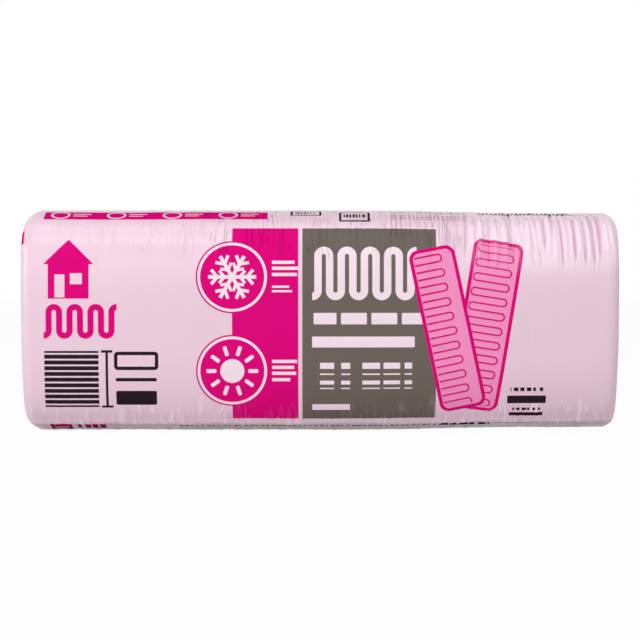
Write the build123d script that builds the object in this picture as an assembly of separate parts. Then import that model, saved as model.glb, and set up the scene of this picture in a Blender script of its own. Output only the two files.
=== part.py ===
"""A factory pack of glass wool batts: ten batts squeezed in a stack inside one tight film bag.

Millimetres. +X runs along the batts, -Y is the printed front, +Z is up, and the origin is at the
centre of the pack's underside, on the floor that it lies on.
"""
import os

from build123d import *

# The batts, as they lie squeezed in the pack
batt_count = 10
batt_length = 1194.0  # 47 in
batt_width = 381.0  # 15 in
batt_thickness = 45.0  # 140 mm loose, so squeezed to under a third
batt_gap = 0.4  # between neighbours, in place of their contact
batt_spread = 8.0  # how much the squeezed middle batts spread in width
batt_reach = 10.0  # how much the squeezed batts lengthen
droop_share = 0.14  # how far a joint between batts droops at the sides, as a share of its height off mid-stack

# The film bag round them
film_thickness = 0.3
film_gap = 0.3  # between film and batts
corner_radius = 78.0  # the long edges, where the film crushes the batts' corners
end_radius = 42.0  # the edges round each end
side_bow = 14.0  # how far the front and the back swell between the long edges
crown_bow = 17.0  # how far the top swells
foot_rise = 14.0  # how far the underside has risen from the floor under the front and the back
foot_margin = 6.0  # from the round corners to where the underside meets the floor

# The tucked gusset at the top and the bottom of each end: two folded layers under the front and back panels
gusset_height = 2 * film_thickness
gusset_top = 62.0  # from the top of the bag to the fold, on the end's centre line
gusset_depth = 176.0  # from the top of the bag to the tip of the tuck
gusset_half_width = 142.0
gusset_shoulder = 46.0  # from the top of the bag to the ends of the fold

# The heat seal that closes each end, a crimped fin folded flat against it
seal_width = 30.0
seal_height = 4 * film_thickness
seal_margin = 44.0  # from the top or the underside of the bag to the seal
crimp_count = 4
crimp_width = 2.6
crimp_pitch = 5.6
crimp_height = 0.5
crimp_margin = 5.0  # from the end of the seal to the crimps

# How far a cutting solid runs past what it cuts
overrun = 60.0

wrap = film_thickness + film_gap
stack_height = batt_count * batt_thickness + (batt_count - 1) * batt_gap
bag_height = stack_height + 2 * wrap
bag_depth = batt_width + batt_spread + 2 * wrap
bag_length = batt_length + batt_reach + 2 * wrap


def bag_section():
    """The bag cut across: bowed sides, a crown and a flat foot that meet in round corners."""
    side = bag_depth / 2 - side_bow
    top = bag_height - crown_bow
    rest = side - corner_radius - foot_margin
    corners = [(-side, foot_rise), (-side, top), (side, top), (side, foot_rise)]
    outline = [
        ThreePointArc(corners[0], (-bag_depth / 2, bag_height / 2), corners[1]),
        ThreePointArc(corners[1], (0, bag_height), corners[2]),
        ThreePointArc(corners[2], (bag_depth / 2, bag_height / 2), corners[3]),
        TangentArc((rest, 0), corners[3], tangent=(1, 0)),
        Line((rest, 0), (-rest, 0)),
        TangentArc((-rest, 0), corners[0], tangent=(-1, 0)),
    ]
    section = make_face(outline)
    rounded = [vertex for vertex in section.vertices() if abs(vertex.X) > rest + corner_radius / 2]
    return fillet(rounded, corner_radius)


def moved_in(edge, inset):
    """One arc or line of the section, moved in by inset."""
    if edge.geom_type == GeomType.LINE:
        return Pos(0, inset) * edge
    centre = edge.arc_center
    shrink = (edge.radius - inset) / edge.radius
    start, middle, end = (centre + (edge @ share - centre) * shrink for share in (0, 0.5, 1))
    return ThreePointArc(start, middle, end)


def section_inside(inset):
    """The bag's section with its whole outline moved in by inset."""
    return make_face([moved_in(edge, inset) for edge in bag_section().edges()])


def end_edges(inset):
    """The edges round both ends of the pack while they are sharp, with every face moved in by inset."""
    body = extrude(Plane.YZ * section_inside(inset), amount=bag_length / 2 - inset, both=True)
    by_length = body.faces().sort_by(Axis.X)
    return by_length[0].edges() + by_length[-1].edges()


def pillow(inset):
    """The whole pack as one solid with round end edges, and every face moved in by inset."""
    return fillet(end_edges(inset), end_radius - inset)


def squeezed_stack():
    """All the batts as one solid: the inside of the bag, with one slanting flat for each end edge.

    The flat starts and ends where the round edge of the film does, so it stays inside it.
    """
    return chamfer(end_edges(wrap), end_radius - wrap)


def raised(outline, height):
    """The pack inside an outline on its ends, where it stands out by height more."""
    return pillow(-height) & extrude(Plane.YZ * outline, amount=bag_length, both=True)


def gusset_outlines():
    """The tucked layers at the top of an end and at its bottom: a shallow fold, and a deep tip."""
    kite = make_face(
        Polyline(
            (-gusset_half_width, -gusset_shoulder),
            (0, -gusset_top),
            (gusset_half_width, -gusset_shoulder),
            (0, -gusset_depth),
            close=True,
        )
    )
    return [Pos(0, bag_height) * kite, mirror(kite, Plane.XZ)]


def seal_outline():
    """The fin as it lies flat down the middle of an end."""
    height = bag_height - 2 * seal_margin
    return Pos(0, bag_height / 2) * Rectangle(seal_width, height)


def crimp_outlines():
    """The ribs that the sealing jaws press along the fin."""
    height = bag_height - 2 * (seal_margin + crimp_margin)
    rib = Rectangle(crimp_width, height)
    first = -(crimp_count - 1) / 2 * crimp_pitch
    return [Pos(first + index * crimp_pitch, bag_height / 2) * rib for index in range(crimp_count)]


def film_bag():
    """The closed bag: the pack's outer form with the folds of its ends, emptied to one film."""
    body = pillow(0)
    for outline in gusset_outlines():
        body += raised(outline, gusset_height)
    body += raised(seal_outline(), seal_height)
    for outline in crimp_outlines():
        body += raised(outline, seal_height + crimp_height)
    return body - pillow(film_thickness)


def joint_line(level, shift):
    """The joint over that many batts, across the pack: the further off mid-stack, the more it bends."""
    height = wrap + level * (batt_thickness + batt_gap) - batt_gap / 2
    droop = droop_share * (height - bag_height / 2)
    half = bag_depth / 2
    left = (-half, height - droop + shift)
    right = (half, height - droop + shift)
    if abs(droop) < batt_gap:
        return Line(left, right)
    return ThreePointArc(left, (0, height + shift), right)


def batt(stack, number):
    """One batt, counted from the lowest: what lies between two joints of the stack inside the film."""
    half = bag_depth / 2
    below = Line((-half, -overrun), (half, -overrun))
    above = Line((-half, bag_height + overrun), (half, bag_height + overrun))
    if number > 1:
        below = joint_line(number - 1, batt_gap / 2)
    if number < batt_count:
        above = joint_line(number, -batt_gap / 2)
    slab = make_face([below, Line(below @ 1, above @ 1), above, Line(above @ 0, below @ 0)])
    return stack & extrude(Plane.YZ * slab, amount=bag_length, both=True)


os.makedirs("parts", exist_ok=True)
export_step(film_bag(), "parts/film_bag.step")
stack = squeezed_stack()
for number in range(1, batt_count + 1):
    export_step(batt(stack, number), f"parts/batt_{number:02d}.step")
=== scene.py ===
# %% [markdown]
# # A factory pack of glass wool batts
#
# The object is a pack of ten flat batts of glass wool, squeezed to under a third of their
# thickness and held in one tight bag of printed pink film. The construction model already gives
# every solid its place and size, so this script makes what a photograph of the pack shows:
# the film with its ripples, its folded ends, the crimped seals, the print, the wool inside,
# and plain studio light.
#
# Everything is in metres. The length runs along X, the printed front faces -Y, and Z is up.

import bpy
import numpy as np
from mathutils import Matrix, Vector


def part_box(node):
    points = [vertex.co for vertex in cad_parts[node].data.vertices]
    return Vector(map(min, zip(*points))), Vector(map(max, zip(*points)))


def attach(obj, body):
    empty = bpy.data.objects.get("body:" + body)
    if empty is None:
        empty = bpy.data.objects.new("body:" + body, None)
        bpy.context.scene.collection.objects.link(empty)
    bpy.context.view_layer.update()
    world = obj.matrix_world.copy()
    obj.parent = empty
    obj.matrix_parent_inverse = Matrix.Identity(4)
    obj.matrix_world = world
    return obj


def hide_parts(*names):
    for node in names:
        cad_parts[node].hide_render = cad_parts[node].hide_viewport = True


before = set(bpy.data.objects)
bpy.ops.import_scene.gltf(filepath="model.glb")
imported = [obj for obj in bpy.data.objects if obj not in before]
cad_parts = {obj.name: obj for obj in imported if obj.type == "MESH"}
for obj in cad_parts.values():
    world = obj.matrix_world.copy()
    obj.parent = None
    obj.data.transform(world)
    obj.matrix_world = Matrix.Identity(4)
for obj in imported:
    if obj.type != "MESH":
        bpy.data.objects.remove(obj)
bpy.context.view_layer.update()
bag_low, bag_high = (np.array(corner, dtype=float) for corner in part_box("film_bag"))
batt_names = sorted(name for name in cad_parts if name.startswith("batt"))
print("bag from", bag_low.round(4), "to", bag_high.round(4), "round", len(batt_names), "batts")

# %% [markdown]
# ## The pack's cross-section
#
# Cut across, the pack is a box whose sides bow out and whose corners the film has crushed round.
# It could be drawn as four arcs and four fillets, as it is in the construction model. Here one
# superellipse does the job: a single formula, with no joints between arcs where a glossy
# reflection would show a kink. The film is measured along this curve, because film doesn't
# stretch: a place on the print is a length along the pack and a length round it.

# %% The section as a superellipse
half_length = 0.6026  # to the film at the ends, without the seals that stand on it
half_depth = (bag_high[1] - bag_low[1]) / 2
half_height = (bag_high[2] - bag_low[2]) / 2
squareness = 4.2  # 2 is an ellipse, and the higher, the squarer


def smooth(share):
    """A smooth step: 0 up to 0, then 3 shares squared less 2 shares cubed, and 1 from 1 on."""
    share = np.clip(share, 0, 1)
    return share * share * (3 - 2 * share)


def measure_section():
    """Film height and points of half the section, from under its middle over the front to the crown.

    At each turn t the distance from the middle is (|cos t / a|^n + |sin t / b|^n)^(-1/n), and the
    running length of the curve is the sum of its short chords.
    """
    turn = np.linspace(-np.pi / 2, np.pi / 2, 20001)
    reach = np.abs(np.cos(turn) / half_depth) ** squareness + np.abs(np.sin(turn) / half_height) ** squareness
    reach = reach ** (-1 / squareness)
    out, up = reach * np.cos(turn), reach * np.sin(turn)
    length = np.concatenate([[0], np.cumsum(np.hypot(np.diff(out), np.diff(up)))])
    return length - length[-1] / 2, out, up


section_length, section_out, section_up = measure_section()
half_round = section_length[-1]  # film from the middle of the front up to the crown


def section_at(height):
    """Distance out, distance up and the outward normal of the section at a film height.

    The normal is the gradient of |out / a|^n + |up / b|^n, made one long.
    """
    out = np.interp(height, section_length, section_out)
    up = np.interp(height, section_length, section_up)
    slope_out = np.abs(out) ** (squareness - 1) / half_depth**squareness
    slope_up = np.sign(up) * np.abs(up) ** (squareness - 1) / half_height**squareness
    size = np.hypot(slope_out, slope_up)
    return out, up, slope_out / size, slope_up / size


print("film from mid-front to crown", half_round, "half depth", half_depth, "half height", half_height)

# %% [markdown]
# ## Meshes from grids of points
#
# Each new piece is a sheet of points in rows and columns, worked out with numpy as whole arrays.
# One helper turns such a sheet into a mesh: a quad between every four neighbours, with two UV
# maps. The first one, in metres on the film, places the print. The second one fills the unit
# square and is what a texture can be baked to. Sharp edges could be marked by hand; here an
# angle between faces tells a fold from a soft bend.

# %% A mesh from a grid
def new_object(name, data):
    """An object in the scene for a mesh, a lamp or a camera."""
    made = bpy.data.objects.new(name, data)
    bpy.context.scene.collection.objects.link(made)
    return made


def grid_faces(rows, columns, turned=False):
    """The four corner numbers of each quad of a grid, whose points count along the rows."""
    corner = np.arange(rows * columns).reshape(rows, columns)
    quads = np.stack([corner[:-1, :-1], corner[1:, :-1], corner[1:, 1:], corner[:-1, 1:]], axis=-1)
    if turned:
        quads = quads[..., ::-1]
    return quads.reshape(-1, 4)


def grid_piece(name, points, maps, turned=False, sharp=50):
    """A shaded piece from points[row, column, xyz], with a UV map for each entry of maps."""
    rows, columns = points.shape[:2]
    quads = grid_faces(rows, columns, turned)
    mesh = bpy.data.meshes.new(name)
    mesh.vertices.add(rows * columns)
    mesh.vertices.foreach_set("co", points.reshape(-1).astype(np.float32))
    mesh.loops.add(quads.size)
    mesh.loops.foreach_set("vertex_index", quads.reshape(-1).astype(np.int32))
    mesh.polygons.add(len(quads))
    mesh.polygons.foreach_set("loop_start", np.arange(0, quads.size, 4, dtype=np.int32))
    mesh.update(calc_edges=True)
    for label, values in maps.items():
        corners = values.reshape(-1, 2)[quads.reshape(-1)]
        mesh.uv_layers.new(name=label).data.foreach_set("uv", corners.reshape(-1).astype(np.float32))
    mesh.validate()
    mesh.shade_smooth()
    mesh.set_sharp_from_angle(angle=np.radians(sharp))
    print(name, "has", 2 * len(quads), "triangles")
    return new_object(name, mesh)


# %% [markdown]
# ## How tight film ripples
#
# The film is stretched over the batts by the packing machine, and the wool pushes back. Where the
# film turns over the long edges it gathers in short ripples across the pack: round ridges with
# narrow grooves between them at the top, strongest towards one end, and thin straight creases
# along the foot. A cloth simulation would give ripples, but not these, so each one is placed:
# a soft bump or groove with a place, a slant, two ends, a width and a height, all drawn from a
# seeded random generator. They are summed and move the film along its normal.

# %% Ripples as a table
narrowing = 0.060  # from the foot of a ripple up to its full width


def ripple_table(random, start, end, spacing, slants, heads, feet, widths, heights):
    """Ripples about a spacing apart: place, slant, head, foot, width and height of each, in metres.

    The pair slants runs from the first ripple to the last; the other pairs are ranges to draw from.
    """
    count = int((end - start) / spacing)
    place = start + (np.arange(count) + 0.5 + random.uniform(-0.28, 0.28, count)) * spacing
    slant = np.interp(place, [start, end], slants) + random.normal(0, 0.04, count)
    drawn = [random.uniform(low, high, count) for low, high in (heads, feet, widths, heights)]
    return np.stack([place, slant, *drawn], axis=1)


def ripple_lift(along, height, table, fade):
    """How far the ripples lift the film at each point.

    Each adds its height, times exp(-d^2 / 2 w^2) of the distance d from its slanted line, times
    one smooth step in from its head and one in from its foot. Both take the length fade, and the
    width w comes down to half towards the foot.
    """
    lift = np.zeros(np.broadcast(along, height).shape)
    for place, slant, head, foot, width, rise in table:
        distance = along - place - slant * (height - (head + foot) / 2)
        window = smooth((head - height) / fade) * smooth((height - foot) / fade)
        narrowed = width * (0.5 + 0.5 * smooth((height - foot) / narrowing))
        lift += rise * window * np.exp(-0.5 * (distance / narrowed) ** 2)
    return lift


def waves(along, out, up, random, count, shortest, longest):
    """Soft unevenness: the mean of sine waves that run in random directions through space."""
    total = np.zeros(np.broadcast(along, out, up).shape)
    for _ in range(count):
        direction = random.normal(0, 1, 3)
        direction /= np.linalg.norm(direction)
        number = 2 * np.pi / random.uniform(shortest, longest)
        phase = random.uniform(0, 2 * np.pi)
        total += np.sin(number * (direction[0] * along + direction[1] * out + direction[2] * up) + phase)
    return total / count


# %% The ripples of each half of the bag
# Where each kind starts and ends, its spacing, slants, heads, feet, widths and heights, and its fade
ripple_kinds = [
    # grooves between round ridges, where the film comes over the top edge
    (0.29, 0.594, 0.0155, (0.03, -0.06), (0.256, 0.29), (0.104, 0.172), (0.0018, 0.0032),
     (-0.0058, -0.0022), 0.03),
    (0.3, 0.6, 0.0165, (0.03, -0.06), (0.222, 0.262), (0.1, 0.15), (0.0028, 0.0048), (0.0018, 0.0044), 0.024),
    (0.02, 0.3, 0.019, (0.0, 0.05), (0.205, 0.258), (0.12, 0.17), (0.002, 0.0032), (-0.0012, -0.0003), 0.026),
    (-0.575, 0.02, 0.024, (0.06, -0.03), (0.205, 0.262), (0.14, 0.18), (0.0022, 0.004),
     (-0.0008, -0.0001), 0.03),
    # thin creases that stand up along the foot
    (-0.585, 0.59, 0.0215, (0.16, -0.26), (-0.2, -0.15), (-0.25, -0.228), (0.0017, 0.0025),
     (0.0007, 0.0018), 0.03),
    (0.3, 0.59, 0.019, (-0.22, -0.34), (-0.19, -0.14), (-0.24, -0.222), (0.0018, 0.0026),
     (0.001, 0.0022), 0.034),
    (-0.57, 0.57, 0.027, (-0.7, 0.6), (-0.222, -0.206), (-0.262, -0.24), (0.0017, 0.0024),
     (0.0007, 0.0018), 0.012),
    # faint long creases down the front
    (0.4, 0.59, 0.024, (-0.1, 0.02), (0.07, 0.16), (-0.16, 0.0), (0.0022, 0.004), (-0.0003, -0.0001), 0.06),
    (-0.58, 0.4, 0.06, (0.05, -0.05), (0.02, 0.14), (-0.17, -0.04), (0.004, 0.009), (-0.0003, 0.0003), 0.06),
    # short ripples over the top and under the foot
    (-0.57, 0.57, 0.03, (-0.15, 0.15), (0.33, 0.352), (0.24, 0.285), (0.0024, 0.0046), (0.0003, 0.001), 0.03),
    (-0.57, 0.57, 0.034, (-0.2, 0.2), (-0.265, -0.24), (-0.35, -0.32), (0.0024, 0.0046),
     (0.0003, 0.001), 0.03),
]


def film_ripples(seed):
    """All the ripples of one half of the bag: (table, fade) for each kind."""
    random = np.random.default_rng(seed)
    return [(ripple_table(random, *kind), fade) for *kind, fade in ripple_kinds]


ripples = {"film_front": film_ripples(11), "film_back": film_ripples(29)}
for name, kinds in ripples.items():
    print(name, "has", sum(len(table) for table, _ in kinds), "ripples")

# %% [markdown]
# ## The bag, in two halves
#
# The bag is one piece of film. It is made here as a front and a back half that meet along the
# crown, along the underside and at the end seals, so that each half gets its own fine texture.
# The columns of the grid run along the pack: from the middle of one end, out across its folded
# flap, round the rim, along the sleeve, and the same way back in at the other end. The rows run
# round it, from the crown down the front to the underside.
#
# The ends are folded like a parcel. The front and the back each fold in to the seal, and what is
# left of the top and the bottom is tucked under them in a three-cornered gusset, so three layers
# of film lie over each other there. The rows near the crown follow that fold: first straight
# down, then sideways under the flap once they reach the slanting crease.

# %% Sizes of the ends and of the taper
rim_side = 0.022  # radius of the rim along the front
rim_top = {-1: 0.032, 1: 0.022}  # radius along the top, at each end
rim_foot = {-1: 0.030, 1: 0.018}  # and along the bottom
end_lean = 0.003  # how far the foot of each end draws in
lean_height = 0.17  # over how much of the height it does so
fold_turn = np.radians(56)  # the film folds in where the section has turned this far up
lip_drop = 0.060  # from the crown down to the lip of the flap, at the seal
layer = 0.0008  # how far one layer of film stands off the next
flap_swell = 0.0012  # how far the flap swells between the rim and the seal
pucker_height, pucker_length = 0.0009, 0.0043  # of the puckers beside the seal, the length over 2 pi
taper = 0.0236  # how much lower one end of the pack is, as a share
taper_from, taper_to = 0.061, 0.452
film_sink = 0.0040  # how deep a groove can go before it meets the wool
floor_gap = 0.0003  # no film lies lower than this
bake_flap, bake_rim = 0.04, 0.03  # the shares of the baking map that each end's flap and rim take


def pack_scale(along):
    """The height of the pack at a place along it, as a share: 1, then smoothly down to the lower end."""
    return 1 - taper * smooth((along - taper_from) / (taper_to - taper_from))


def rim_radius(end, height, normal_up):
    """The radius of the rim: the side's, and more and more the top's or the foot's as the film turns up."""
    top = np.where(end < 0, rim_top[-1], rim_top[1])
    foot = np.where(end < 0, rim_foot[-1], rim_foot[1])
    share = np.abs(normal_up) ** 3
    return np.where(height > 0, top, foot) * share + rim_side * (1 - share)


# %% The rows and the columns
flap_columns, rim_columns, sleeve_columns = 22, 12, 616
finer_from = 0.62  # the ripples are densest past this share of the length, which gets half of the columns
crease_spacing = 0.0024  # of the rows at the crease along the foot
upper_half = section_length[len(section_length) // 2:]
fold_height = float(np.interp(np.sin(fold_turn), section_at(upper_half)[3], upper_half))


def film_rows(middle, edge, far):
    """Film heights from the crown to the underside, closer together where the film turns.

    The three numbers are the spacings on the flat front, over the long edges and beyond them.
    """
    creased = min(edge, crease_spacing)
    spans = [
        (-half_round, -0.290, far), (-0.290, -0.236, edge), (-0.236, -fold_height, creased),
        (-fold_height, -0.204, creased), (-0.204, -0.120, edge), (-0.120, 0.120, middle),
        (0.120, fold_height, edge), (fold_height, 0.290, edge), (0.290, half_round, far),
    ]
    parts = []
    for low, high, gap in spans:
        parts.append(np.linspace(low, high, max(2, round((high - low) / gap)), endpoint=False))
    return np.concatenate(parts + [[half_round]])[::-1]


def film_columns():
    """For each column: its end, -1 or 1, the share along the sleeve, the rim's turn, and how far in."""
    flap_in = np.linspace(1, 0, flap_columns, endpoint=False)
    rim_turn = np.linspace(np.pi / 2, 0, rim_columns, endpoint=False)
    coarse = np.linspace(0, finer_from, sleeve_columns // 2, endpoint=False)
    sleeve = np.concatenate([coarse, np.linspace(finer_from, 1, sleeve_columns // 2)])
    outer = flap_columns + rim_columns
    flap_turn = np.full(flap_columns, np.pi / 2)
    end = np.concatenate([-np.ones(outer), np.where(sleeve < 0.5, -1, 1), np.ones(outer)])
    along = np.concatenate([np.zeros(outer), sleeve, np.ones(outer)])
    turn = np.concatenate([flap_turn, rim_turn, np.zeros(sleeve_columns), rim_turn[::-1], flap_turn])
    inward = np.concatenate([flap_in, np.zeros(sleeve_columns + 2 * rim_columns), flap_in[::-1]])
    return end, along, turn, inward


# %% The crease along the foot
crease_height, crease_drop = -0.2185, 0.0014  # the crease on the film, and how much it drops to the right
crease_sways = ((0.0012, 0.041, 0), (0.0008, 0.0173, 1))  # of its waves: height, length over 2 pi, and phase
ridge_height, ridge_rise, ridge_width = 0.0016, 0.0080, 0.0050  # the ridge, that far above the crease
step_depth, step_run = 0.0048, 0.0070  # the step in under the crease, and the length that it takes


def foot_crease(along, height):
    """A soft ridge and a step in under it, where the film is pulled in under the wool.

    The ridge is a bell curve of the height above a line that wanders up and down by sine waves,
    and the step is a smooth one down past that line, which fades out where the film meets the floor.
    """
    line = crease_height - crease_drop * smooth((along - 0.05) / 0.4)
    for sway, length, phase in crease_sways:
        line = line + sway * np.sin(along / length + phase)
    ridge = ridge_height * np.exp(-0.5 * ((height - line - ridge_rise) / ridge_width) ** 2)
    step_in = step_depth * smooth((line - height) / step_run) * smooth((height + 0.300) / 0.040)
    return ridge - step_in


# %% The light and shade painted on the film
def painted_fold_light(along, height, lift, crease):
    """Light and shade painted by the folds: shade at -1 in the deepest grooves, highlight at 1 on the highest
    ridges.

    It is the ripples' lift as a share of 4.8 mm, to the power 1.6 so that only strong ripples
    count, plus shares of the foot's crease: a painted highlight on its ridge and painted shade in
    the step under it. Where the film is pulled hardest, over the top edge at the right, a painted
    highlight makes it paler all over.
    """
    share = np.clip(lift / 0.0048, -1, 1)
    painted_light = np.sign(share) * np.abs(share) ** 1.6
    painted_light += np.maximum(crease, 0) / 0.0055 + np.minimum(crease, 0) / 0.0068
    painted_highlight_top_right = smooth((along - 0.26) / 0.08) * smooth((height - 0.09) / 0.05) * smooth((0.29 - height) / 0.03)
    return painted_light + 0.5 * painted_highlight_top_right


# %% The film as a surface
def film_half(name, rows):
    """Points, both UV maps and the painted light and shade of one half of the bag, as arrays of rows by
    columns.

    Sleeve: the section at the row's film height, carried along X. Rim: the section moved in by
    r (1 - cos t) while X gains r sin t. Flap: from the end of the rim straight in to the seal.
    Gusset: down by the share s of the flap's width until the crease, at s = 1 - y / y_fold, and
    sideways from there. Then the ripples lift each point of the sleeve along its normal.
    """
    front = -1 if name == "film_front" else 1
    end, along, turn, inward = (values[None, :] for values in film_columns())
    height = rows[:, None]
    out, up, normal_out, normal_up = section_at(height)

    rim = rim_radius(end, height, normal_up)
    end_place = half_length - end_lean * smooth(-up / lean_height)
    sleeve_end = end_place - rim
    left_end, right_end = -sleeve_end[:, :1], sleeve_end[:, -1:]
    sleeve_x = left_end + along * (right_end - left_end)
    x = np.where(turn > 0, end * (end_place - rim * (1 - np.sin(turn))), sleeve_x)
    inset = rim * (1 - np.cos(turn))
    y = out - inset * normal_out
    z = up - inset * normal_up

    # the flap and the gusset, from where the flap folds
    fold_out, fold_up, fold_normal_out, fold_normal_up = section_at(np.array([[fold_height]]))
    fold_rim = rim_radius(end, height, fold_normal_up)
    fold_y = fold_out - fold_rim * fold_normal_out
    fold_z = fold_up - fold_rim * fold_normal_up
    lip_rise = half_height - lip_drop - fold_z
    lip_z = fold_z + lip_rise * inward
    tucked = np.abs(height) > fold_height + 1e-9
    crease = np.clip(1 - y / fold_y, 0, 1)
    lip_at_crease = fold_z + lip_rise * crease
    on_crease = np.abs(z) - crease * fold_y
    lower = inward <= crease
    gusset_y = np.where(lower, y, fold_y * (1 - inward))
    gusset_z = np.where(lower, np.abs(z) - inward * fold_y, on_crease + lip_z - lip_at_crease)
    under = layer * smooth((inward - crease) / 0.05)
    flap_y = y * (1 - inward)
    flap_z = np.abs(z) * lip_z / fold_z

    # where the flap lies over the gusset it stands proud of it, down to the crease's shadow
    crease_y = (fold_y * (1 - crease))[:, -1]
    top_rows = height[:, 0] > fold_height
    shadow_z = np.interp(flap_y, crease_y[top_rows], on_crease[top_rows, -1])
    over_gusset = smooth((flap_z - shadow_z) / 0.012) * smooth(inward / 0.10)
    proud = layer * smooth(inward / 0.04) + layer * over_gusset
    swell = flap_swell * np.sin(np.pi * np.clip(inward, 0, 1))
    puckers = np.sin(height / pucker_length + 2 * np.sin(height / 0.021))
    puckers = pucker_height * puckers * smooth((inward - 0.35) / 0.6)
    y = np.where(inward > 0, np.where(tucked, gusset_y, flap_y), y)
    z = np.where(inward > 0, np.sign(height) * np.where(tucked, gusset_z, flap_z), z)
    x = x + end * np.where(tucked, under, proud + swell + puckers) * (inward > 0)

    # ripples, and a softer unevenness of the wool underneath
    lift = np.zeros(x.shape)
    for table, fade in ripples[name]:
        lift += ripple_lift(x, height, table, fade)
    pulled_in = foot_crease(x, height)
    # the folds' light and shade, to be painted into the film's colour
    painted_light = painted_fold_light(x, height, lift, pulled_in)
    lift += pulled_in
    random = np.random.default_rng(5)
    lift += 0.0011 * waves(x, front * out, up, random, 9, 0.10, 0.42)
    lift += 0.00030 * waves(x, front * out, up, random, 9, 0.030, 0.07)
    lift = np.maximum(lift, -film_sink) * np.cos(turn) ** 2 * (inward == 0)
    y = y + lift * normal_out
    z = z + lift * normal_up

    z = half_height + z * pack_scale(x)
    points = np.stack([x, front * y, np.maximum(z, floor_gap)], axis=-1)

    # where each point is on the film, and the same as shares of a square map
    off_sleeve = (turn > 0) | (inward > 0)
    film_x = np.where(off_sleeve, end * (sleeve_end + rim * turn + inward * fold_y), x)
    print_map = np.stack([-front * film_x, np.broadcast_to(height, x.shape)], axis=-1)
    on_flap, on_rim = bake_flap * (1 - inward), bake_flap + bake_rim * (1 - turn / (np.pi / 2))
    share = np.where(inward > 0, on_flap, on_rim)
    on_sleeve = bake_flap + bake_rim + (1 - 2 * (bake_flap + bake_rim)) * along
    share = np.where(off_sleeve, np.where(end < 0, share, 1 - share), on_sleeve)
    shares = np.broadcast_arrays(share, (height + half_round) / (2 * half_round), x)[:2]
    bake_map = np.stack(shares, axis=-1)
    return points, {"Print": print_map, "OFBake": bake_map}, painted_light


# %% Make the two halves of the bag
film_pieces = []
for name, spacings in (("film_front", (0.008, 0.0042, 0.008)), ("film_back", (0.0125, 0.0065, 0.011))):
    points, maps, painted_light = film_half(name, film_rows(*spacings))
    piece = grid_piece(name, points, maps, turned=name == "film_back")
    # the painted light and shade go with each point of the mesh
    attribute = piece.data.attributes.new("Painted light", "FLOAT", "POINT")
    attribute.data.foreach_set("value", painted_light.reshape(-1).astype(np.float32))
    film_pieces.append(piece)
    print(name, "spans", points.min(axis=(0, 1)).round(4), points.max(axis=(0, 1)).round(4))

# %% [markdown]
# ## The end seals
#
# Each end of the bag is closed by a hot bar that presses the film into a fin with fine ribs, and
# the fin lies folded flat on the end. A thin closed ribbon stands for it: a profile with four
# ribs, carried down the middle of the end.

# %% A crimped ribbon
seal_margin = 0.044  # from the top and the underside to the seal
seal_width = 0.030
seal_thickness = 0.0012
rib_height, rib_count, rib_share = 0.0005, 4, 0.75  # the ribs, and the share of the width that they take
seal_columns, seal_rows = 61, 180


def seal_points(end):
    """Rows down the end by columns round the ribbon's profile.

    The front of the profile is flat with ribs that are raised cosines, its back is flat, and both
    round off at the sides; the first and last rows shrink to a line, so that the ribbon is closed.
    """
    across = np.concatenate([np.linspace(-1, 1, seal_columns), np.linspace(1, -1, seal_columns)[1:]])
    face = np.concatenate([np.ones(seal_columns), np.zeros(seal_columns - 1)])
    rib_turn = np.clip(across / rib_share, -1, 1) * rib_count * np.pi + np.pi
    ribs = rib_height / 2 * (1 + np.cos(rib_turn)) * (np.abs(across) < rib_share)
    thick = (seal_thickness + ribs) * face * smooth((1 - np.abs(across)) / 0.06)
    down = np.linspace(0, 1, seal_rows)[:, None]
    z = half_height + (half_height - seal_margin) * (1 - 2 * down)
    wave = 0.0016 * np.sin(z / 0.031) + 0.0008 * np.sin(z / 0.0123 + 1)
    close = smooth(np.minimum(down, 1 - down) / 0.012)
    lean = end_lean * smooth((half_height - z) / lean_height)
    x = half_length - lean + 2.2 * layer + 0.0005 * np.sin(z / 0.0075) + thick[None, :] * close
    y = (seal_width / 2) * across[None, :] * (0.2 + 0.8 * close) + wave
    z = half_height + (z - half_height) * pack_scale(end * half_length)
    return np.stack(np.broadcast_arrays(end * x, y, z), axis=-1)


seal_pieces = []
for end, name in ((-1, "seal_left"), (1, "seal_right")):
    points = seal_points(end)
    rows, columns = points.shape[:2]
    column_share, row_share = np.meshgrid(np.linspace(0, 1, columns), np.linspace(0, 1, rows))
    maps = {"OFBake": np.stack([column_share, row_share], axis=-1)}
    seal_pieces.append(grid_piece(name, points, maps, turned=end < 0))

# %% [markdown]
# ## The batts
#
# Ten batts of glass wool fill the bag. Squeezed, they take its shape: the outer ones wrap round
# the crown and the foot, and the middle ones stay flat. Each could be cut from one block with
# boolean cuts. Here a square is mapped onto the bag's inside instead: a point of the square is
# pulled in along its own direction until the square's edge lands on the superellipse, so a batt
# is simply a level band of that square.

# %% A batt as a band of the section
wool_clearance = film_sink + 0.0010  # between the wool and the film
batt_rim = 0.034  # radius of the batts' ends
batt_gap = 0.004  # of each batt to the joint, as a share of the stack's half height
side_points, edge_points, rim_points, length_points = 44, 6, 9, 150


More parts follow.
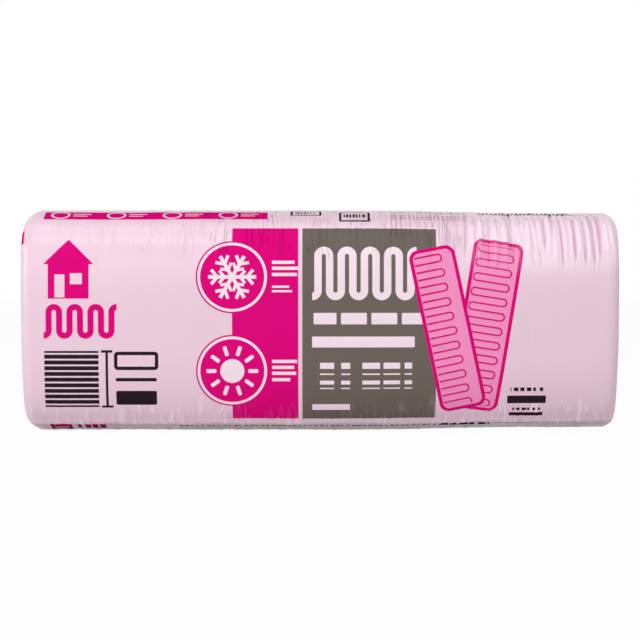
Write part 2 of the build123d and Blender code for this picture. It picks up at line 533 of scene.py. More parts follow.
def batt_points(number):
    """Rows round one batt by columns along it, closed at both ends, and each row's share of the round.

    A point (p, q) of the unit square goes to (p a, q b) max(|p|, |q|) / (|p|^n + |q|^n)^(1/n).
    The ends shrink by r (1 - cos t) over the last r of the length, and then to the batt's middle.
    """
    low = 2 * (number - 1) / len(batt_names) - 1 + batt_gap
    high = 2 * number / len(batt_names) - 1 - batt_gap
    side = np.linspace(-1, 1, side_points)
    rise = np.linspace(0, 1, edge_points + 1)[1:]
    p = np.concatenate([side, np.ones(edge_points), side[::-1][1:], -np.ones(edge_points)])
    q = np.concatenate([np.full(side_points, low), low + (high - low) * rise,
                        np.full(side_points - 1, high), high + (low - high) * rise])
    side_share = np.linspace(0, 1, side_points)
    round_share = np.concatenate([side_share, 1 + rise, 2 + side_share[1:], 3 + rise]) / 4
    q = q + 0.012 * np.sin(p * 2.1 + number) * (np.abs(q) < 0.99)
    reach = (np.abs(p) ** squareness + np.abs(q) ** squareness) ** (-1 / squareness)
    reach = reach * np.maximum(np.abs(p), np.abs(q))
    y = (p * reach)[:, None]
    z = (q * reach)[:, None]

    middle_z = (low + high) / 2
    end_turn = np.linspace(np.pi / 2, 0, rim_points, endpoint=False)
    straight = half_length - wool_clearance - batt_rim
    right_x = straight + batt_rim * np.sin(np.concatenate([end_turn[::-1], np.full(2, np.pi / 2)]))
    right_inset = batt_rim * (1 - np.cos(np.concatenate([end_turn[::-1], np.full(2, np.pi / 2)])))
    x = np.concatenate([-right_x[::-1], np.linspace(-1, 1, length_points) * straight, right_x])
    inset = np.concatenate([right_inset[::-1], np.zeros(length_points), right_inset])
    shut = np.ones(x.size)
    shut[[0, -1]] = 0.0
    shut[[1, -2]] = 0.6
    y = y * (half_depth - wool_clearance - inset) * shut
    z = (middle_z + (z - middle_z) * shut) * (half_height - wool_clearance - inset)

    random = np.random.default_rng(100 + number)
    uneven = 1 - 0.004 * (1 + waves(x[None, :], y, z, random, 12, 0.02, 0.11))
    y = y * uneven
    z = half_height + z * uneven * pack_scale(x[None, :])
    lean = end_lean * smooth((half_height - z) / lean_height) * smooth((np.abs(x) - 0.3) / 0.25)
    return np.stack([x - np.sign(x) * lean, y, z], axis=-1), round_share


batt_pieces = []
for number, node in enumerate(batt_names, start=1):
    points, round_share = batt_points(number)
    maps = {"OFBake": np.stack(np.meshgrid(np.linspace(0, 1, points.shape[1]), round_share), axis=-1)}
    batt_pieces.append(grid_piece(f"wool_{node}", points, maps, sharp=60))

# %% [markdown]
# ## Every piece rides on the pack
#
# The pack has one body. The film and its seals stand for the construction model's bag, and each
# batt of wool for its own solid.

# %% Tie the pieces to the construction model
for piece in film_pieces + seal_pieces:
    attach(piece, "root")
    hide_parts("film_bag")
for piece, node in zip(batt_pieces, batt_names):
    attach(piece, "root")
    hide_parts(node)

# %% [markdown]
# ## Formulas as shader nodes
#
# A print is a set of masks, and a mask is a formula. Node by node, even a short formula fills a
# page, so here a term stands for a node's output, and each sign between terms adds a math node
# to their tree. The other helpers fill a node's inputs, place node groups and mix colours.

# %% Node helpers
def fill(node, sockets):
    """Fills a node's numbered or named inputs with values, terms or other nodes' outputs."""
    for key, value in dict(sockets).items():
        value = getattr(value, "socket", value)
        if isinstance(value, bpy.types.NodeSocket):
            node.id_data.links.new(value, node.inputs[key])
        else:
            node.inputs[key].default_value = value


def add_node(tree, kind, sockets=(), **settings):
    """A new shader node with its settings, and with its inputs filled."""
    node = tree.nodes.new("ShaderNode" + kind)
    for key, value in settings.items():
        setattr(node, key, value)
    fill(node, sockets)
    return node


def calc(operation, *values):
    """A math node on terms and numbers, in the tree of the terms, as a term."""
    tree = next(value.socket.id_data for value in values if isinstance(value, Term))
    return Term(add_node(tree, "Math", enumerate(values), operation=operation).outputs[0])


class Term:
    """A node's output in a formula, where each sign adds a math node."""

    def __init__(self, socket):
        self.socket = socket

    def __add__(self, other):
        return calc("ADD", self, other)

    def __sub__(self, other):
        return calc("SUBTRACT", self, other)

    def __rsub__(self, other):
        return calc("SUBTRACT", other, self)

    def __mul__(self, other):
        return calc("MULTIPLY", self, other)

    def __truediv__(self, other):
        return calc("DIVIDE", self, other)

    def __abs__(self):
        return calc("ABSOLUTE", self)

    __rmul__ = __mul__


def new_group(name, inputs, outputs):
    """An empty node group: its tree, its inputs as terms by name, and its output node."""
    tree = bpy.data.node_groups.new(name, "ShaderNodeTree")
    for way, labels in (("INPUT", inputs), ("OUTPUT", outputs)):
        for label in labels:
            tree.interface.new_socket(label, in_out=way, socket_type="NodeSocketFloat")
    given = tree.nodes.new("NodeGroupInput").outputs
    return tree, {label: Term(given[label]) for label in inputs}, tree.nodes.new("NodeGroupOutput")


def place_group(tree, group, **values):
    """Places a group with its inputs filled by name, and gives its outputs as terms by name."""
    sockets = {label.replace("_", " "): value for label, value in values.items()}
    node = add_node(tree, "Group", sockets, node_tree=group)
    return {socket.name: Term(socket) for socket in node.outputs}


def mix_colours(tree, share, one, other, blend_type="MIX"):
    """The first colour with a share of the other mixed or multiplied in."""
    sockets = {0: share, 6: one, 7: other}
    return add_node(tree, "Mix", sockets, data_type="RGBA", blend_type=blend_type).outputs[2]


def screen_colour(red, green, blue):
    """A colour given as 0 to 255 on screen, as the linear values that shaders use."""
    screen = np.array([red, green, blue]) / 255
    linear = np.where(screen <= 0.04045, screen / 12.92, ((screen + 0.055) / 1.055) ** 2.4)
    return (*linear.tolist(), 1.0)


def new_material(name):
    """A new material, its node tree and its shader."""
    material = bpy.data.materials.new(name)
    material.use_nodes = True
    return material, material.node_tree, material.node_tree.nodes["Principled BSDF"]


# %% [markdown]
# ## The print
#
# On the real bag the inks are printed on flat film before it is filled, so the print bends with
# the film and every ripple runs through it. It is therefore drawn in film lengths, read from the
# piece's own UV map. A picture could be mapped on, but a formula stays sharp at any distance.
# Every shape here comes from three small formulas: a rounded panel, a serpentine line and a
# folded wheel of spokes. All of them give a mask, 1 on the ink and 0 off it.

# %% A rounded panel
soft_edge = 0.0007  # from ink to bare film


def edge_mask(gap):
    """1 inside and 0 outside an outline, across a soft edge, from the distance to it."""
    return calc("MAXIMUM", calc("MINIMUM", 0.5 - gap / soft_edge, 1.0), 0.0)


def length(one, other):
    """The length of a line from its two lengths at a right angle, neither of them negative."""
    return calc("SQRT", calc("POWER", one, 2.0) + calc("POWER", other, 2.0))


def turned_place(given):
    """A place on the film seen from a shape's own middle and turn, as its two lengths.

    With the place dx, dy off the middle: dx cos t + dy sin t across, and dy cos t - dx sin t up.
    """
    aside, above = given["X"] - given["Middle X"], given["Y"] - given["Middle Y"]
    cosine, sine = calc("COSINE", given["Turn"]), calc("SINE", given["Turn"])
    return aside * cosine + above * sine, above * cosine - aside * sine


def make_panel_group():
    """A rounded rectangle as a fill and as a line along its outline.

    With q = |p| - half size + corner, the distance to the outline is the length of the positive
    part of q, plus the larger of q's two numbers where both are negative, less the corner.
    """
    inputs = ("X", "Y", "Middle X", "Middle Y", "Half X", "Half Y", "Corner", "Turn", "Line")
    tree, given, result = new_group("Rounded panel", inputs, ("Fill", "Outline"))
    across, up = turned_place(given)
    over_x = abs(across) - given["Half X"] + given["Corner"]
    over_y = abs(up) - given["Half Y"] + given["Corner"]
    outside = length(calc("MAXIMUM", over_x, 0.0), calc("MAXIMUM", over_y, 0.0))
    inside = calc("MINIMUM", calc("MAXIMUM", over_x, over_y), 0.0)
    gap = outside + inside - given["Corner"]
    fill(result, {"Fill": edge_mask(gap), "Outline": edge_mask(abs(gap) - given["Line"])})
    return tree


def make_serpentine_group():
    """A line that runs up, turns over in a half circle, runs down and turns back, over and over.

    Between the turns the distance is that to the nearest leg, half a pitch apart; beyond them it
    is that to the nearest circle of a quarter pitch, and those stand a pitch apart, from a quarter
    pitch on above and from three quarters on below.
    """
    inputs = ("X", "Y", "Middle X", "Middle Y", "Turn", "Pitch", "Leg", "Line")
    tree, given, result = new_group("Serpentine", inputs, ("Fill",))
    across, up = turned_place(given)
    quarter = given["Pitch"] * 0.25
    nearest_leg = calc("PINGPONG", across, quarter)
    beyond = calc("MAXIMUM", abs(up) - given["Leg"], 0.0)
    quarters = 3.0 - calc("GREATER_THAN", up, 0.0) * 2.0
    aside = calc("PINGPONG", across - quarter * quarters, given["Pitch"] * 0.5)
    to_turn = abs(length(abs(aside), beyond) - quarter)
    past = calc("GREATER_THAN", beyond, 0.0)
    gap = to_turn * past + nearest_leg * (1.0 - past) - given["Line"]
    fill(result, {"Fill": edge_mask(gap)})
    return tree


def make_wheel_group():
    """Folds the film round a centre like a paper star: one shape drawn on it shows Count times.

    The place keeps its distance r from the centre, and its angle becomes the distance f to the
    nearest of the Count directions: the folded place is (r cos f, r sin f).
    """
    inputs = ("X", "Y", "Middle X", "Middle Y", "Count")
    tree, given, result = new_group("Folded wheel", inputs, ("Along spoke", "Off spoke"))
    aside, above = given["X"] - given["Middle X"], given["Y"] - given["Middle Y"]
    radius = length(abs(aside), abs(above))
    step = calc("DIVIDE", float(np.pi), given["Count"])
    folded = calc("PINGPONG", calc("ARCTAN2", above, aside), step)
    along, off = radius * calc("COSINE", folded), radius * calc("SINE", folded)
    fill(result, {"Along spoke": along, "Off spoke": off})
    return tree


least_ink, most_ink = 0.35, 0.90  # the inked share of a cell of a dashed line


def make_dash_group():
    """A line of fine print seen from too far to read: dashes of uneven length along one line.

    The line is cut into cells of one pitch, and each cell is inked up to a share that its own
    random number gives.
    """
    inputs = ("X", "Y", "Middle X", "Middle Y", "Half X", "Half Y", "Pitch")
    tree, given, result = new_group("Dashed line", inputs, ("Fill",))
    cells = given["X"] / given["Pitch"]
    cell = {"W": calc("FLOOR", cells)}
    chance = Term(add_node(tree, "TexWhiteNoise", cell, noise_dimensions="1D").outputs["Value"])
    inked = chance * (most_ink - least_ink) + least_ink
    gap = (calc("FRACT", cells) - inked) * given["Pitch"]
    box = place_group(tree, panel_group, **{label: given[label] for label in inputs[:-1]})
    fill(result, {"Fill": edge_mask(gap) * box["Fill"]})
    return tree


panel_group = make_panel_group()
serpentine_group = make_serpentine_group()
wheel_group = make_wheel_group()
dash_group = make_dash_group()
print("print formulas", [group.name for group in (panel_group, serpentine_group, wheel_group, dash_group)])

# %% [markdown]
# The layout follows the usual design of such a bag: a big sign at the left, a magenta panel with
# two round signs, a grey panel with the pack's data, and a picture at the right. The signs are
# the trade's common ones: a house for what is insulated, snow and sun for cold and heat, the
# looped line that stands for batts on building plans, a stack with its height, and two batts.
#
# Working out the whole print at each point of the film would be slow. So the film is divided into
# regions, each with its own material, and a region draws only the motifs that reach it.

# %% A region of the print
ink_names = ("Grey", "Rose", "Magenta", "Pale", "Fine", "Dark")
layer_names = ("base", "grey", "open", "sign", "rose", "line", "fine", "dark")


class Region:
    """A part of the film with its own share of the print, in a node group with a mask for each ink.

    Inks lie over each other, so the order counts: the shapes are collected in layers, and each
    layer cuts the one under it.
    """

    def __init__(self, name):
        self.tree, given, self.result = new_group(name, ("X", "Y"), ink_names)
        self.here = (given["X"], given["Y"])
        self.layers = {}

    def ink(self, layer, mask):
        """Adds a mask to a layer of ink."""
        if layer in self.layers:
            mask = calc("MAXIMUM", self.layers[layer], mask)
        self.layers[layer] = mask

    def drawn(self, group, x, y, place=None, **values):
        """One of the formulas round a middle, on the film or on places of its own."""
        here = place or self.here
        return place_group(self.tree, group, X=here[0], Y=here[1], Middle_X=x, Middle_Y=y, **values)

    def shape(self, x, y, wide, high, corner=0.0, turn=0.0, line=None, place=None):
        """A rounded panel by its middle and its full size, filled, or drawn as a line."""
        found = self.drawn(panel_group, x, y, place, Half_X=wide / 2, Half_Y=high / 2, Corner=corner,
                           Turn=float(np.radians(turn)), Line=(line or 0.001) / 2)
        return found["Outline" if line else "Fill"]

    def loops(self, x, y, pitch, high, line, turn=0.0):
        """A looped line by the middle of its band, its pitch, full height and width of line."""
        leg = (high - pitch / 2 - line) / 2
        turned = float(np.radians(turn))
        return self.drawn(serpentine_group, x, y, Turn=turned, Pitch=pitch, Leg=leg, Line=line / 2)["Fill"]

    def wheel(self, x, y, count):
        """The places that a wheel of spokes folds the film to, to draw one spoke on."""
        return tuple(self.drawn(wheel_group, x, y, Count=count).values())

    def panel(self, layer, *size, **more):
        """A rounded panel in a layer of ink."""
        self.ink(layer, self.shape(*size, **more))

    def dashes(self, layer, x, y, wide, high, pitch):
        """A dashed line in a layer of ink, by its middle, its full size and its pitch."""
        self.ink(layer, self.drawn(dash_group, x, y, Half_X=wide / 2, Half_Y=high / 2, Pitch=pitch)["Fill"])

    def finish(self):
        """Lays the layers over each other and hands them out as inks."""
        found = (self.layers.get(name, 0.0) for name in layer_names)
        base, grey, cut_out, sign, rose, line, fine, dark = found
        clear = (1.0 - rose) * (1.0 - line)
        magenta = base * (1.0 - sign) * (1.0 - cut_out) * clear
        if "line" in self.layers:
            magenta = calc("MAXIMUM", magenta, line)
        fill(self.result, zip(ink_names, (grey, rose * (1.0 - line), magenta, sign * clear, fine, dark)))
        return self.tree


# %% The signs at the left
def house(region):
    """A house with a pointed roof, and a door and a window left open."""
    region.panel("base", -0.5045, 0.0900, 0.082, 0.080)
    roof = region.shape(-0.5045, 0.1170, 0.0745, 0.0745, 0.003, 45)
    region.ink("base", roof * region.shape(-0.5045, 0.1500, 0.120, 0.062))
    region.panel("open", -0.5220, 0.0755, 0.020, 0.046, 0.001)
    region.panel("open", -0.4890, 0.0900, 0.024, 0.022, 0.001)


def bold_loops(region):
    """The looped line of a batt, bold in magenta."""
    line = region.loops(-0.5440, 0.0045, 0.0420, 0.070, 0.0125)
    region.ink("base", line * region.shape(-0.4810, 0.0045, 0.1470, 0.080))


def stack(region):
    """A stack of ten batts with a dimension line beside it, and three marks, in black."""
    step = calc("PINGPONG", region.here[1] + 0.1130, 0.0116 / 2)
    bars = edge_mask(step - 0.0041)
    region.ink("dark", bars * region.shape(-0.4990, -0.1130, 0.109, 0.1160))
    region.panel("dark", -0.4280, -0.1130, 0.0050, 0.1160)
    for end in (-0.0560, -0.1700):
        region.panel("dark", -0.4280, end, 0.0230, 0.0050)
    region.panel("dark", -0.3690, -0.0750, 0.082, 0.030, 0.004, line=0.0070)
    region.panel("dark", -0.3690, -0.1130, 0.082, 0.0070)
    region.panel("dark", -0.3690, -0.1510, 0.082, 0.030, 0.004)


# %% The magenta panel and its round signs
def magenta_panel(region):
    """The panel, and short lines of fine print beside each sign."""
    region.panel("base", -0.1100, -0.0020, 0.1330, 0.3960)
    for high, wide, tall in (
        (0.1230, 0.045, 0.0062), (0.1110, 0.052, 0.0062), (0.0985, 0.050, 0.0062),
        (0.0740, 0.034, 0.0040), (0.0650, 0.040, 0.0040),
        (-0.0760, 0.050, 0.0062), (-0.0880, 0.044, 0.0062), (-0.1000, 0.048, 0.0062),
        (-0.1130, 0.036, 0.0062),
    ):
        region.panel("sign", -0.0960 + wide / 2, high, wide, tall)


def round_sign(region, x, y):
    """A magenta disc with a pale ring."""
    region.panel("base", x, y, 0.146, 0.146, 0.073)
    region.panel("sign", x, y, 0.134, 0.134, 0.067, line=0.0052)


def snow_sign(region):
    """Six spokes with two pairs of barbs each."""
    round_sign(region, -0.1760, 0.0935)
    spoke = region.wheel(-0.1760, 0.0935, 6.0)
    region.panel("sign", 0.0240, 0.0, 0.048, 0.0070, place=spoke)
    region.panel("sign", 0.0360, 0.0075, 0.0180, 0.0060, turn=50, place=spoke)
    region.panel("sign", 0.0210, 0.0065, 0.0150, 0.0055, turn=50, place=spoke)


def sun_sign(region):
    """A disc with ten short rays."""
    round_sign(region, -0.1760, -0.0955)
    ray = region.wheel(-0.1760, -0.0955, 10.0)
    region.panel("sign", -0.1760, -0.0955, 0.0480, 0.0480, 0.0240)
    region.panel("sign", 0.0420, 0.0, 0.0200, 0.0075, 0.0030, place=ray)


# %% The grey panel
def grey_panel(region):
    """The panel, with a looped line, four blocks, a bold bar, rows of fine print and a short one."""
    region.panel("grey", 0.0988, -0.0020, 0.2686, 0.3960)
    line = region.loops(-0.0040, 0.1010, 0.0465, 0.1080, 0.0150)
    region.ink("sign", line * region.shape(0.0890, 0.1010, 0.2092, 0.1300))
    for x, wide in ((0.0100, 0.046), (0.0680, 0.052), (0.1290, 0.052), (0.1850, 0.042)):
        region.panel("sign", x, 0.0100, wide, 0.0230, 0.002)
    region.panel("sign", 0.0870, -0.0370, 0.2060, 0.0220, 0.002)
    for high, tall in ((-0.0850, 0.0125), (-0.1020, 0.0030), (-0.1190, 0.0080), (-0.1310, 0.0025)):
        region.dashes("sign", 0.0870, high, 0.2060, tall, 0.0425)
    region.panel("sign", 0.0225, -0.1710, 0.0760, 0.0130, 0.001)


# %% The picture at the right
def two_batts(region):
    """Two batts that lean on each other, rose with magenta outlines and the looped line inside."""
    for x, y, wide, high, turn, phase in (
        (0.3330, -0.0050, 0.0980, 0.3500, -9, 0.004),
        (0.2560, -0.0120, 0.0900, 0.3350, 12, 0.016),
    ):
        over = region.shape(x, y, wide, high, 0.016, turn)
        for layer in ("rose", "line"):
            if layer in region.layers:
                region.layers[layer] *= 1.0 - over
        region.ink("rose", over)
        line = region.loops(x - phase, y, 0.0300, wide - 0.020, 0.0036, turn + 90)
        region.ink("line", line * region.shape(x, y, wide - 0.014, high - 0.020, 0.01, turn))
        region.panel("line", x, y, wide - 0.004, high - 0.004, 0.016, turn, line=0.0075)


def small_marks(region):
    """Two lines of fine print over two dark bars."""
    region.dashes("dark", 0.4160, -0.1360, 0.066, 0.0080, 0.0130)
    region.panel("dark", 0.4160, -0.1580, 0.078, 0.0170, 0.001)
    region.dashes("dark", 0.4160, -0.1800, 0.056, 0.0065, 0.0110)
    region.panel("dark", 0.4160, -0.1930, 0.068, 0.0090, 0.001)


# %% The strips over the top edge and round the foot
def top_strip(region):
    """A magenta strip with small rings and lines of fine print, the same again in each cell."""
    region.panel("base", -0.3330, 0.2450, 0.4540, 0.0430)
    wrapped = calc("FLOORED_MODULO", region.here[0] + 0.5600, 0.1135)
    cell = (wrapped - 0.0568, region.here[1])
    small = region.shape(-0.0240, 0.2450, 0.0350, 0.0330, 0.0165, line=0.0045, place=cell)
    for x, y, wide, high in ((0.0200, 0.2500, 0.0360, 0.0045), (0.0160, 0.2390, 0.0280, 0.0035)):
        small = calc("MAXIMUM", small, region.shape(x, y, wide, high, place=cell))
    region.ink("open", small * region.shape(-0.3330, 0.2450, 0.4400, 0.0430))


def top_notes(region):
    """Two boxed notes and lines of fine print, in black."""
    for x, y, high in ((-0.0285, 0.2590, 0.0320), (0.0700, 0.2400, 0.0450)):
        region.panel("dark", x, y, 0.0580, high, 0.0, line=0.0045)
        region.dashes("dark", x, y, 0.0440, high * 0.4, 0.0066)
    for high in (0.2700, 0.2610, 0.2430, 0.2350, 0.2270):
        region.dashes("fine", 0.2210, high, 0.1520, 0.0034, 0.0085)
    region.dashes("dark", 0.4145, 0.2735, 0.1850, 0.0120, 0.0085)
    region.dashes("dark", 0.4200, 0.2630, 0.1900, 0.0052, 0.0065)
    region.panel("dark", 0.5320, 0.2600, 0.0500, 0.0018)


def foot_strip(region):
    """A small magenta sign, and two lines of fine print that run most of the way along."""
    region.panel("base", -0.5288, -0.2500, 0.0445, 0.0540)
    region.panel("open", -0.5288, -0.2560, 0.0300, 0.0080)
    region.dashes("base", -0.4660, -0.2500, 0.0620, 0.0400, 0.0150)
    region.dashes("dark", 0.0100, -0.2400, 0.6000, 0.0060, 0.0110)
    region.dashes("dark", 0.0100, -0.2560, 0.6000, 0.0050, 0.0070)
    region.dashes("dark", 0.2930, -0.2360, 0.1040, 0.0150, 0.0190)
    region.panel("dark", 0.4500, -0.2330, 0.1900, 0.0016)


def end_mark(region):
    """A magenta block on the left end, whose edge shows from the front."""
    region.panel("base", -0.6320, 0.1790, 0.0700, 0.0330, 0.002)
    region.panel("open", -0.6380, 0.1790, 0.0420, 0.0090, 0.001)


# %% The layout: each motif and the box that it fills on the film
motifs = [
    (house, (-0.570, 0.045, -0.440, 0.185)),
    (bold_loops, (-0.565, -0.040, -0.415, 0.050)),
    (stack, (-0.560, -0.180, -0.320, -0.045)),
    (magenta_panel, (-0.180, -0.202, -0.040, 0.198)),
    (snow_sign, (-0.252, 0.018, -0.100, 0.170)),
    (sun_sign, (-0.252, -0.172, -0.100, -0.018)),
    (grey_panel, (-0.040, -0.202, 0.238, 0.198)),
    (two_batts, (0.160, -0.190, 0.420, 0.180)),
    (small_marks, (0.370, -0.200, 0.460, -0.130)),
    (top_strip, (-0.562, 0.220, -0.104, 0.268)),
    (top_notes, (-0.062, 0.215, 0.560, 0.282)),
    (foot_strip, (-0.555, -0.280, 0.550, -0.220)),
    (end_mark, (-0.680, 0.160, -0.595, 0.198)),
]
region_boxes = {
    "signs": (-0.580, -0.210, -0.300, 0.205),
    "round signs": (-0.260, -0.210, -0.040, 0.205),
    "grey": (-0.040, -0.210, 0.165, 0.205),
    "picture": (0.165, -0.210, 0.370, 0.205),
    "marks": (0.370, -0.210, 0.480, 0.205),
    "top left": (-0.575, 0.213, -0.095, 0.290),
    "top right": (-0.070, 0.213, 0.565, 0.290),
    "foot": (-0.570, -0.290, 0.560, -0.216),
    "end": (-0.690, 0.150, -0.585, 0.205),
}
region_margin = 0.012  # more than one quad of the film


def make_region(name, box):
    """The node group of one region, with every motif whose box comes near it."""
    region = Region(name)
    low_x, low_y, high_x, high_y = box
    for motif, (left, low, right, high) in motifs:
        beside = max(left - high_x, low_x - right, low - high_y, low_y - high)
        if beside < region_margin:
            motif(region)
    return region.finish()


region_groups = {name: make_region(name, box) for name, box in region_boxes.items()}
print("nodes in each region", {name: len(group.nodes) for name, group in region_groups.items()})

# %% [markdown]
# ## The film's finish
#
# Polyethylene film is half glossy. Where it is pulled round the long edges it gathers in streaks
# across the pack, too fine for the mesh, and they break up every reflection there. They could be
# modelled like the ripples, at the cost of millions of faces. Instead a group makes them from a
# place on the film, as a height for a bump and as painted light and shade.
#
# The painted light and shade of the streaks and that of the ripples in the mesh add up. Painted
# shade darkens film that is folded under, and it mirrors less there, as if its surroundings shut
# the light out; a painted highlight makes film over a ridge pale, and the ink on it a little. The inks
# themselves are matt.

# %% Streaks in film
def make_streak_group():
    """Height of the film's streaks and the light and shade painted with them, from a place on the film.

    The height is a noise stretched along the film's height, and where a second such noise crosses
    its middle, there is a fold: a groove at the top and a ridge at the foot. The fold is also
    painted: as shade in the groove at the top and as a glint on the ridge at the foot. All count
    only past a height at the top and one at the foot, in patches, and at the top most across the panels.
    """
    tree, given, result = new_group("Drawn film", ("X", "Y", "Z"), ("Height", "Painted light"))
    place = add_node(tree, "CombineXYZ", given).outputs[0]

    def noise(across, along, detail):
        """A noise with different scales across the streaks and along them."""
        scaled = {0: place, 1: (across, along, along)}
        stretched = add_node(tree, "VectorMath", scaled, operation="MULTIPLY").outputs[0]
        look = {"Vector": stretched, "Scale": 1.0, "Detail": detail}
        return Term(add_node(tree, "TexNoise", look).outputs["Fac"])

    def step(value, start, span):
        """A smooth step from 0 at the start to 1 after the span."""
        limits = {"Value": value, "From Min": start, "From Max": start + span}
        return Term(add_node(tree, "MapRange", limits, interpolation_type="SMOOTHSTEP").outputs[0])

    patches = noise(24.0, 8.0, 1.0)
    patchy = step(patches, 0.30, 0.25)
    uneven = (patches - 0.5) * 0.16
    top = step(given["Y"] + uneven, 0.115, 0.050)
    foot = step(uneven - given["Y"], 0.160, 0.045)
    panels = step(given["X"], -0.300, 0.120) - step(given["X"], 0.260, 0.100)
    top = top * (panels * 0.8 + 0.30)
    soft = (noise(75.0, 7.0, 2.0) - 0.5) * patchy * calc("MAXIMUM", top, foot)
    fold = 1.0 - step(abs(noise(104.0, 9.0, 1.0) - 0.5), 0.0, 0.045)
    folds = fold * patchy * (foot - top)
    # the folds lift the film a little, and go out as painted light: painted shade at the top, painted glints
    # at the foot
    fill(result, {"Height": soft + folds * 0.35, "Painted light": folds})
    return tree


streak_group = make_streak_group()

# %% Printed film
ink_colours = {
    "Grey": screen_colour(112, 103, 96),
    "Rose": screen_colour(247, 150, 198),
    "Magenta": screen_colour(222, 12, 124),
    "Pale": screen_colour(248, 228, 238),
    "Fine": screen_colour(176, 128, 142),
    "Dark": screen_colour(44, 32, 38),
}
bare_film = screen_colour(236, 205, 220)
# the pale pink of a painted highlight on the ridges
painted_highlight_film = screen_colour(255, 232, 244)
painted_shade_film = (0.55, 0.50, 0.52, 1.0)  # what a fold's shade leaves of the colour
fold_shade, ink_highlight, film_gloss = 0.42, 0.14, 0.30  # how strongly each of these shows


def film_finish(name, region=None, flat_map=True):
    """A film material: the film's colour, a region's inks over it, and streaks that lift both and paint light
    and shade on them.
    """
    material, tree, shader = new_material(name)
    if flat_map:
        place = add_node(tree, "UVMap", uv_map="Print").outputs["UV"]
    else:
        place = add_node(tree, "TexCoord").outputs["Object"]
    place = add_node(tree, "SeparateXYZ", {0: place}).outputs
    film = place_group(tree, streak_group, X=place["X"], Y=place["Y"], Z=place["Z"])
    painted_light = film["Painted light"] + add_node(tree, "Attribute", attribute_name="Painted light").outputs["Fac"]
    # where light is painted: shade in the folds, a highlight on the ridges
    folded = calc("MAXIMUM", painted_light * -1.0, 0.0)
    stretched = calc("MINIMUM", calc("MAXIMUM", painted_light, 0.0), 1.0)
    colour = mix_colours(tree, stretched, bare_film, painted_highlight_film)
    # the gloss drops where shade is painted in the folds, and under the matt inks
    matt = calc("MINIMUM", folded, 1.0)
    if region:
        inks = place_group(tree, region, X=place["X"], Y=place["Y"])
        for ink in ink_names:
            # on the ridges a painted highlight pales the film and every ink but the dark one
            if ink == "Dark":  # the one ink that doesn't go pale
                colour = mix_colours(tree, stretched * ink_highlight, colour, painted_highlight_film)
            matt = calc("MAXIMUM", matt, inks[ink])
            colour = mix_colours(tree, inks[ink], colour, ink_colours[ink])
    # the painted shade in the folds
    colour = mix_colours(tree, folded * fold_shade, colour, painted_shade_film, "MULTIPLY")
    bump = {"Height": film["Height"], "Strength": 0.8, "Distance": 0.0030}
    lifted = add_node(tree, "Bump", bump).outputs[0]
    gloss = (1.0 - matt) * film_gloss
    fill(shader, {"Base Color": colour, "Roughness": 0.27, "IOR": 1.51, "Specular IOR Level": gloss,
                  "Normal": lifted})
    return material


film_materials = [film_finish("bare film")]
for name, group in region_groups.items():
    film_materials.append(film_finish(f"printed film, {name}", group))


def region_of(quads_map):
    """For each quad's middle on the film, the number of the material that it needs."""
    number = np.zeros(len(quads_map), dtype=np.int32)
    x, y = quads_map.T
    for index, (low_x, low_y, high_x, high_y) in enumerate(region_boxes.values(), start=1):
        number[(x > low_x) & (x < high_x) & (y > low_y) & (y < high_y)] = index
    return number


for piece in film_pieces:
    mesh = piece.data
    corners = np.empty(2 * len(mesh.loops), dtype=np.float32)
    mesh.uv_layers["Print"].data.foreach_get("uv", corners)
    numbers = region_of(corners.reshape(-1, 4, 2).mean(axis=1))
    for material in film_materials:
        mesh.materials.append(material)
    mesh.polygons.foreach_set("material_index", numbers)
    print(piece.name, "quads in each material", np.bincount(numbers))

sealed_film = film_finish("sealed film", flat_map=False)
for piece in seal_pieces:
    piece.data.materials.append(sealed_film)

# %% [markdown]
# ## Glass wool
#
# Glass wool is a felt of fine fibres, laid in flat swirls, with small tufts and hollows, and shade is painted
# into the hollows.
# It is matt and lets a little light in, which sheen at grazing angles gives cheaply. The bag
# hides it here, but the batts are pieces of their own and are finished as such.

# %% Wool finish
wool, tree, shader = new_material("glass wool")
place = add_node(tree, "TexCoord").outputs["Object"]
flat = add_node(tree, "Mapping", {"Vector": place, "Scale": (1.0, 1.0, 3.5)}).outputs[0]
fibre_look = {"Vector": flat, "Scale": 240.0, "Detail": 5.0, "Roughness": 0.65, "Distortion": 1.6}
tuft_look = {"Vector": flat, "Scale": 38.0, "Detail": 3.0, "Distortion": 0.8}
fibres, tufts = (Term(add_node(tree, "TexNoise", look).outputs["Fac"]) for look in (fibre_look, tuft_look))
felt = fibres * 0.55 + tufts * 0.45
# the colour darkens where the felt is low: painted shade in its hollows
ramp = add_node(tree, "ValToRGB", {0: felt})
shaded_hollow, crest = ramp.color_ramp.elements
shaded_hollow.position, shaded_hollow.color = 0.32, screen_colour(196, 104, 132)
crest.position, crest.color = 0.66, screen_colour(250, 188, 206)
relief = add_node(tree, "Bump", {"Height": felt, "Strength": 0.8, "Distance": 0.004}).outputs[0]
fill(shader, {"Base Color": ramp.outputs[0], "Roughness": 0.92, "Sheen Weight": 0.35, "Normal": relief})
for piece in batt_pieces:
    piece.data.materials.append(wool)

# %% [markdown]
# ## The studio
#
# The photograph is a catalogue cut-out on pure white. The white could be made with strong lamps on
# the backdrop, but they would wash out the film's edges too. Here floor and backdrop are white
# only where the camera looks at them or the film mirrors them. For all other rays the floor is
# plain matt and the room is dark, so that the lamps alone light the pack.
#
# Five large soft lamps stand round the front. Three of them, one over the other, shade the film
# evenly from the bright band on its upper edge down to the foot. The two at the sides light the
# rims, and the left one is stronger, as in the photograph. There is none behind, because the film
# mirrors so much light at a low angle that the top edge would burn out.

# %% Floor, backdrop and world
white = (1, 1, 1, 1)
floor_half = 6
paper_white = 0.97  # the rest of the floor's look is matt, and keeps a trace of the pack's shadow


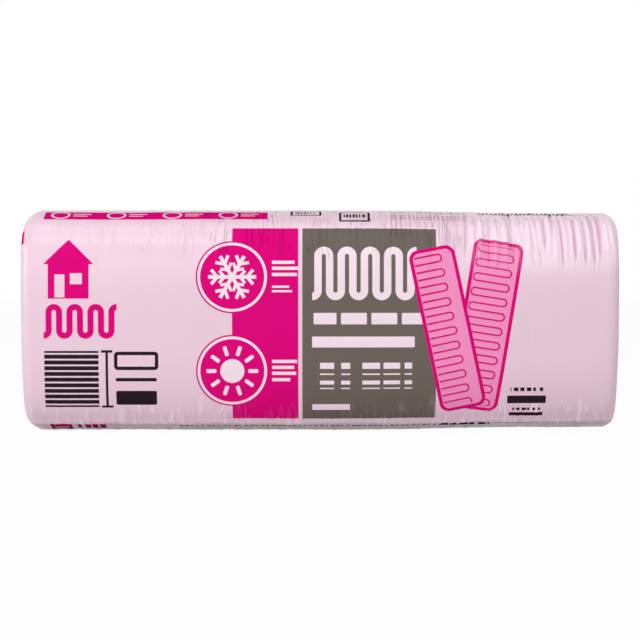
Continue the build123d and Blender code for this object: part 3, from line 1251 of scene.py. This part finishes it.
def lit_where_seen(tree, ending, matt, lit):
    """Ends a tree in lit where rays see the background straight or mirrored, and in matt elsewhere."""
    rays = add_node(tree, "LightPath").outputs
    seen = calc("MAXIMUM", Term(rays["Is Glossy Ray"]), rays["Is Transmission Ray"])
    seen = calc("MAXIMUM", Term(rays["Is Camera Ray"]), seen)
    mixed = add_node(tree, "MixShader", {0: seen, 1: matt, 2: lit}).outputs[0]
    fill(tree.nodes[ending], {"Surface": mixed})


floor_mesh = bpy.data.meshes.new("floor")
floor_corners = [(x * floor_half, y * floor_half, 0) for x, y in ((-1, -1), (1, -1), (1, 1), (-1, 1))]
floor_mesh.from_pydata(floor_corners, [], [(0, 1, 2, 3)])
floor = new_object("floor", floor_mesh)
floor_material, tree, matt = new_material("white floor")
fill(matt, {"Base Color": (0.66, 0.66, 0.66, 1), "Roughness": 0.8})
lit = add_node(tree, "Emission", {"Color": white, "Strength": 1.0}).outputs[0]
paper = add_node(tree, "MixShader", {0: paper_white, 1: matt.outputs[0], 2: lit}).outputs[0]
lit_where_seen(tree, "Material Output", matt.outputs[0], paper)
floor_mesh.materials.append(floor_material)

world = bpy.data.worlds.new("studio")
world.use_nodes = True
bpy.context.scene.world = world
tree = world.node_tree
dark = tree.nodes["Background"]
fill(dark, {"Color": white, "Strength": 0.0})
lit = add_node(tree, "Background", {"Color": white, "Strength": 1.0}).outputs[0]
lit_where_seen(tree, "World Output", dark.outputs[0], lit)

# %% Lamps
lamp_distance = 3.0
lamp_target = Vector((0, 0, 0.25))


def soft_lamp(name, azimuth, elevation, size, power):
    """A rectangular lamp that faces the pack, in degrees round from the front and up."""
    lamp = bpy.data.lights.new(name, "AREA")
    lamp.shape = "RECTANGLE"
    lamp.size, lamp.size_y = size
    lamp.energy = power
    holder = new_object(name, lamp)
    round_turn, up_turn = np.radians(azimuth), np.radians(elevation)
    level = np.cos(up_turn)
    away = Vector((np.sin(round_turn) * level, -np.cos(round_turn) * level, np.sin(up_turn)))
    holder.location = lamp_target + lamp_distance * away
    holder.rotation_euler = (-away).to_track_quat("-Z", "Y").to_euler()
    print(name, "lamp at", [round(value, 2) for value in holder.location], "with", power, "W")


soft_lamp("key", 0, 44, (2.0, 0.8), 29)
soft_lamp("front", 0, 14, (2.4, 0.8), 17)
soft_lamp("overhead", 0, 75, (2.4, 0.8), 25)
soft_lamp("left", -65, 12, (1.2, 1.2), 34)
soft_lamp("right", 65, 12, (1.2, 1.2), 15)

# %% [markdown]
# ## The camera
#
# A long lens 4 m away, straight on and 3 degrees from above: the sides stay almost parallel and a
# narrow strip of the top shows. Its length is given in pixels: how many of them a metre would
# cover from a metre away.

# %% Camera
distance, elevation, lens_pixels = 4.0, np.radians(3.0), 1898.0
aim = Vector((0.0, 0.0, half_height - 0.003))
camera_data = bpy.data.cameras.new("camera")
camera_data.sensor_width = 36
picture_width = 640
camera_data.lens = camera_data.sensor_width * lens_pixels / picture_width
camera = new_object("camera", camera_data)
camera.location = aim + Vector((0, -distance * np.cos(elevation), distance * np.sin(elevation)))
camera.rotation_euler = (aim - camera.location).to_track_quat("-Z", "Y").to_euler()
bpy.context.scene.camera = camera
bpy.context.scene.view_settings.view_transform = "Standard"
print("camera at", [round(value, 3) for value in camera.location], "with a lens of", camera_data.lens, "mm")
